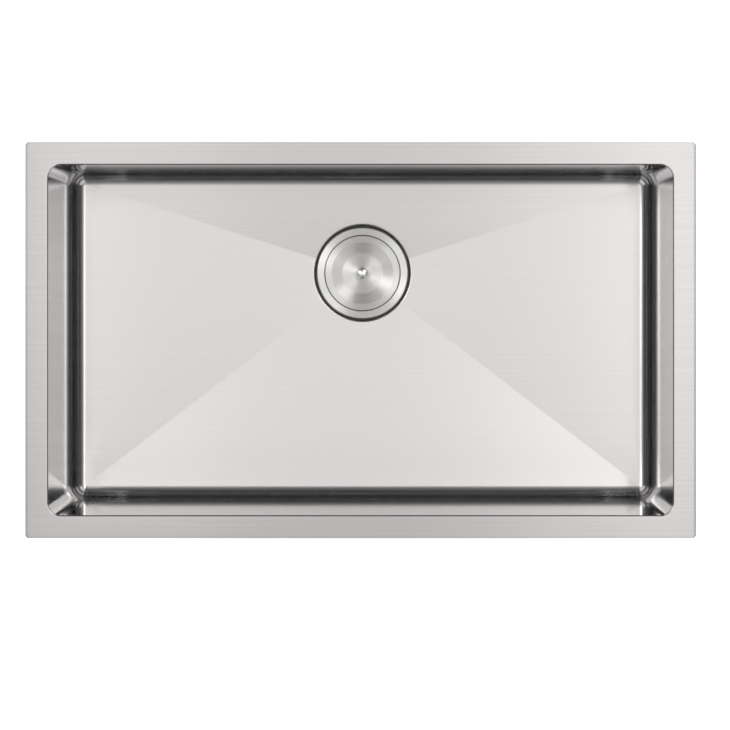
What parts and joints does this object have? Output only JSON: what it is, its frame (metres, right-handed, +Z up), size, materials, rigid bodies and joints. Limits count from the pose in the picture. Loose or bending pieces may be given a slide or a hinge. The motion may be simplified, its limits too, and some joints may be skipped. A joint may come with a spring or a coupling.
{
  "type": "undermount kitchen sink",
  "caption": "Undermount kitchen sink: deep rectangular steel bowl with a flat rim, and a floor falling to a basket strainer with a lift-out basket, a dished lid and a tailpiece.",
  "frame": {"origin": "middle of the rim, on its top face, where the underside of the worktop lies", "axes": "+X along the rim's length, +Y towards the back, where the drain is nearer, +Z up out of the bowl"},
  "size_m": [0.762, 0.45, 0.3945],
  "materials": {
    "satin_steel": "satin, brushed along the length",
    "spun_steel": "spun, brushed in circles",
    "polished_steel": "polished",
    "pad_rubber": "matt, finely pitted",
    "black_rubber": "moulded, matt",
    "cast_zinc": "die-cast zinc, dull",
    "white_plastic": "moulded",
    "plated_brass": "chrome plate",
    "fibre": "pressed fibre"
  },
  "bodies": {
    "sink": {"bowl": "satin_steel", "left_floor_pad": "pad_rubber", "right_floor_pad": "pad_rubber", "front_floor_pad": "pad_rubber", "front_wall_pad": "pad_rubber", "back_wall_pad": "pad_rubber", "left_wall_pad": "pad_rubber", "right_wall_pad": "pad_rubber", "flange_seal": "black_rubber", "strainer_body": "spun_steel", "rubber_gasket": "black_rubber", "friction_washer": "fibre", "lock_nut": "cast_zinc", "tailpiece_washer": "white_plastic", "coupling_nut": "white_plastic", "tailpiece": "plated_brass"},
    "basket": {"basket_cup": "spun_steel", "basket_post": "polished_steel", "stopper_washer": "polished_steel", "stopper": "black_rubber", "backing_washer": "polished_steel", "guide_nut": "polished_steel"},
    "lid": {"drain_lid": "spun_steel", "lid_knob": "polished_steel", "knob_nut": "polished_steel"}
  },
  "joints": [
    {"name": "basket_lift", "type": "slide", "parent": "sink", "child": "basket", "axis": [0, 0, 1], "range_m": [0, 0.29]},
    {"name": "lid_lift", "type": "slide", "parent": "basket", "child": "lid", "axis": [0, 0, 1], "range_m": [0, 0.25]}
  ]
}
